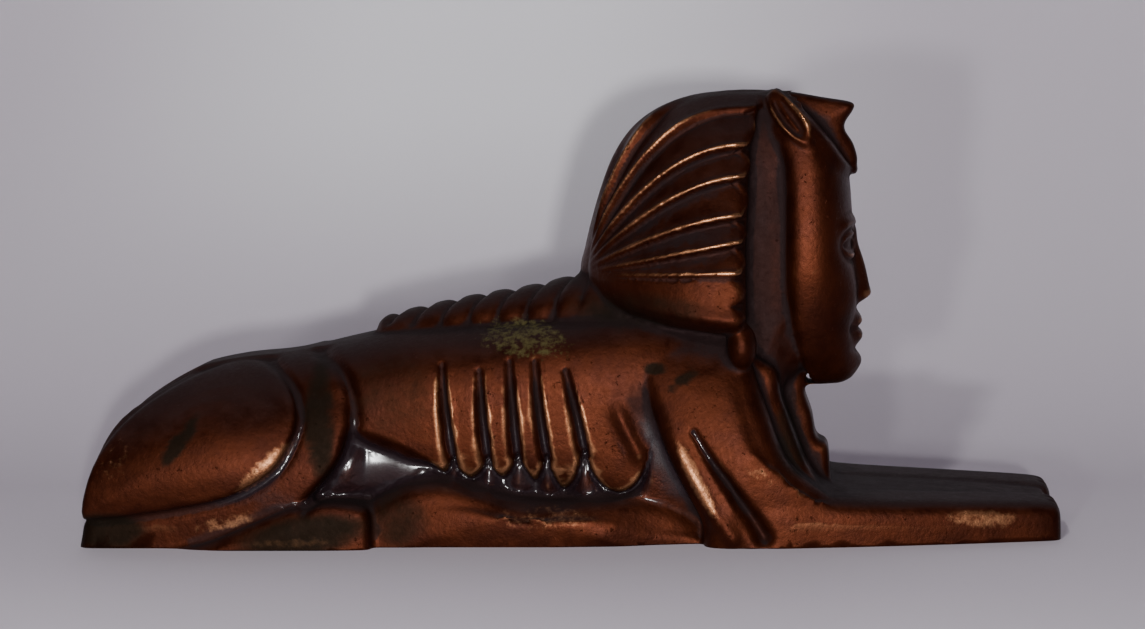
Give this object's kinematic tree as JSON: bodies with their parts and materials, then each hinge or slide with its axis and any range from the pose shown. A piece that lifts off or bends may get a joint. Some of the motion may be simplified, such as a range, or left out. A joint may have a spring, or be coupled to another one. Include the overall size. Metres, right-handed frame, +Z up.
{
  "type": "sphinx statue",
  "caption": "Small solid cast sphinx lying down, with forelegs stretched out, pleated headcloth, carved ribs and a flat underside.",
  "frame": {"origin": "middle of the underside, at the level of the surface that the statue rests on", "axes": "+X the way that the sphinx looks, +Y its left side, +Z up"},
  "size_m": [0.11, 0.036, 0.0502],
  "materials": {
    "patinated_bronze": "worn copper-brown patina on cast bronze, bright on the raised edges and dark violet-brown in the hollows"
  },
  "bodies": {
    "root": {"sphinx": "patinated_bronze"}
  },
  "joints": []
}
